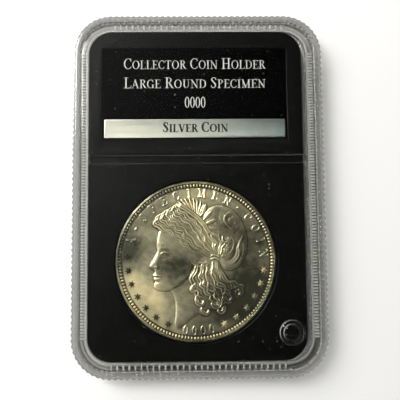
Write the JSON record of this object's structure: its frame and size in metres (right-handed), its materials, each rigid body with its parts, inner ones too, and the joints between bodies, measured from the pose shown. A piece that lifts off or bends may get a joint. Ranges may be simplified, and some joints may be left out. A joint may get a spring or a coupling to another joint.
{
  "type": "graded coin slab",
  "caption": "Clear two-shell display case with a fluted edge that holds one large coin in a black insert, under a label card and a silver strip.",
  "frame": {"origin": "middle of the case's footprint, on the plane that the foot ring of the back shell rests on", "axes": "+Z out of the front window, +Y along the length towards the label end, +X to the right as the label is read"},
  "size_m": [0.06, 0.0864, 0.008],
  "materials": {
    "clear_back": "clear, polished",
    "clear_front": "clear, polished",
    "black_insert": "satin black",
    "black_label": "gloss coated black card",
    "silver_foil": "bright foil",
    "coin_silver": "struck silver, lightly toned"
  },
  "bodies": {
    "case_back": {"back_shell": "clear_back", "coin_insert": "black_insert", "label_card": "black_label", "silver_strip": "silver_foil", "coin": "coin_silver"},
    "case_front": {"front_shell": "clear_front"}
  },
  "joints": [
    {"name": "front_lift", "type": "slide", "parent": "case_back", "child": "case_front", "axis": [0, 0, 1], "range_m": [0, 0.015]}
  ]
}
